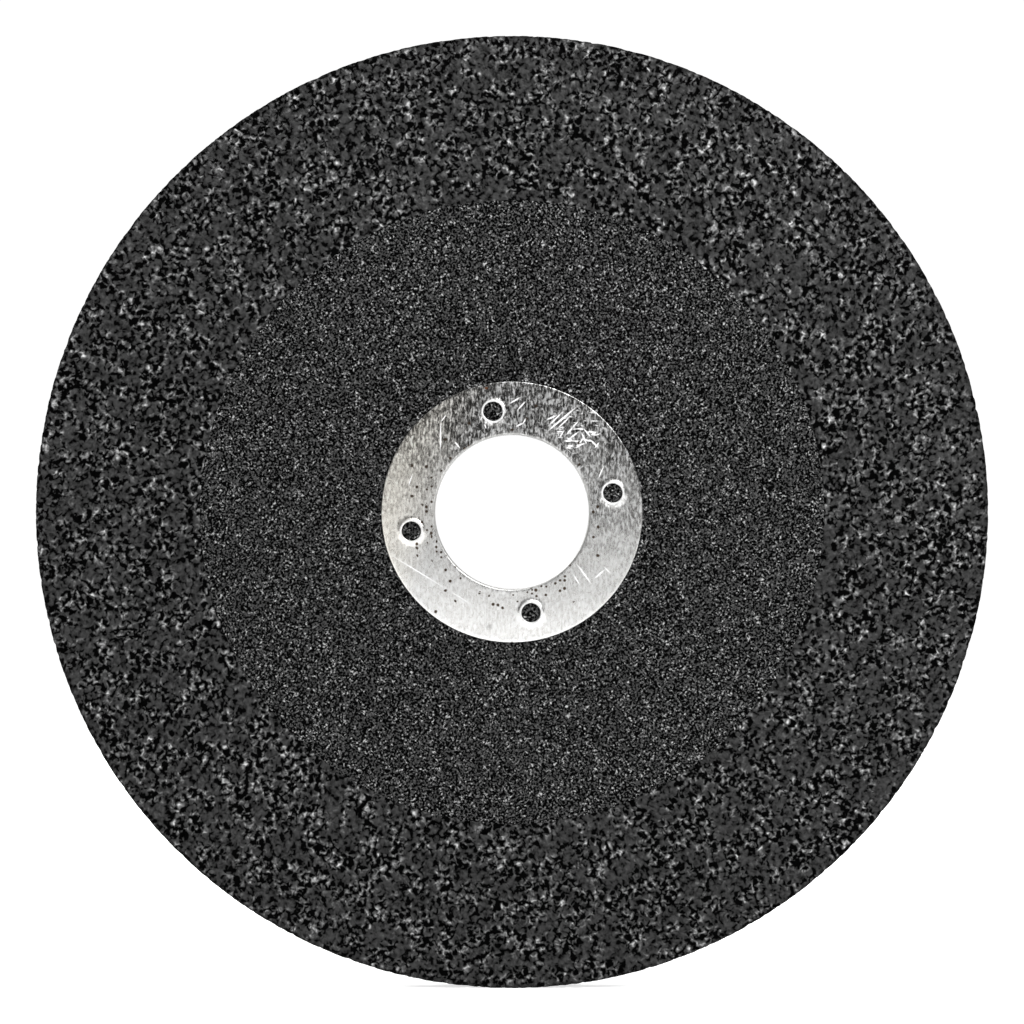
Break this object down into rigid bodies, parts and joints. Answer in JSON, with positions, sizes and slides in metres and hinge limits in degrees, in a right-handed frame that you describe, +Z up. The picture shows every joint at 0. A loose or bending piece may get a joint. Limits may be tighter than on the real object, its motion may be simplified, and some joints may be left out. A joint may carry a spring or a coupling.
{
  "type": "abrasive disc",
  "caption": "Flat resin-bonded abrasive disc with a coarse rim, a finer centre, glass mesh inside and a flanged steel arbor ring for an angle grinder's spindle.",
  "frame": {"origin": "on the axis of the bore, halfway through the thickness of the abrasive", "axes": "+Y along the bore, from the front face to the back face; +Z up with the disc standing upright"},
  "size_m": [0.1, 0.0034, 0.1],
  "materials": {
    "steel_ring": "satin",
    "coarse_grit": "rough",
    "fine_grit": "rough",
    "glass_yarn": "matte",
    "label_paper": "matte"
  },
  "bodies": {
    "root": {"arbor_ring": "steel_ring", "fine_hub_layer": "fine_grit", "hub_mesh_warp": "glass_yarn", "hub_mesh_weft": "glass_yarn", "coarse_front_layer": "coarse_grit", "front_mesh_warp": "glass_yarn", "front_mesh_weft": "glass_yarn", "core_layer": "coarse_grit", "back_mesh_warp": "glass_yarn", "back_mesh_weft": "glass_yarn", "back_layer": "coarse_grit", "back_label": "label_paper"}
  },
  "joints": []
}
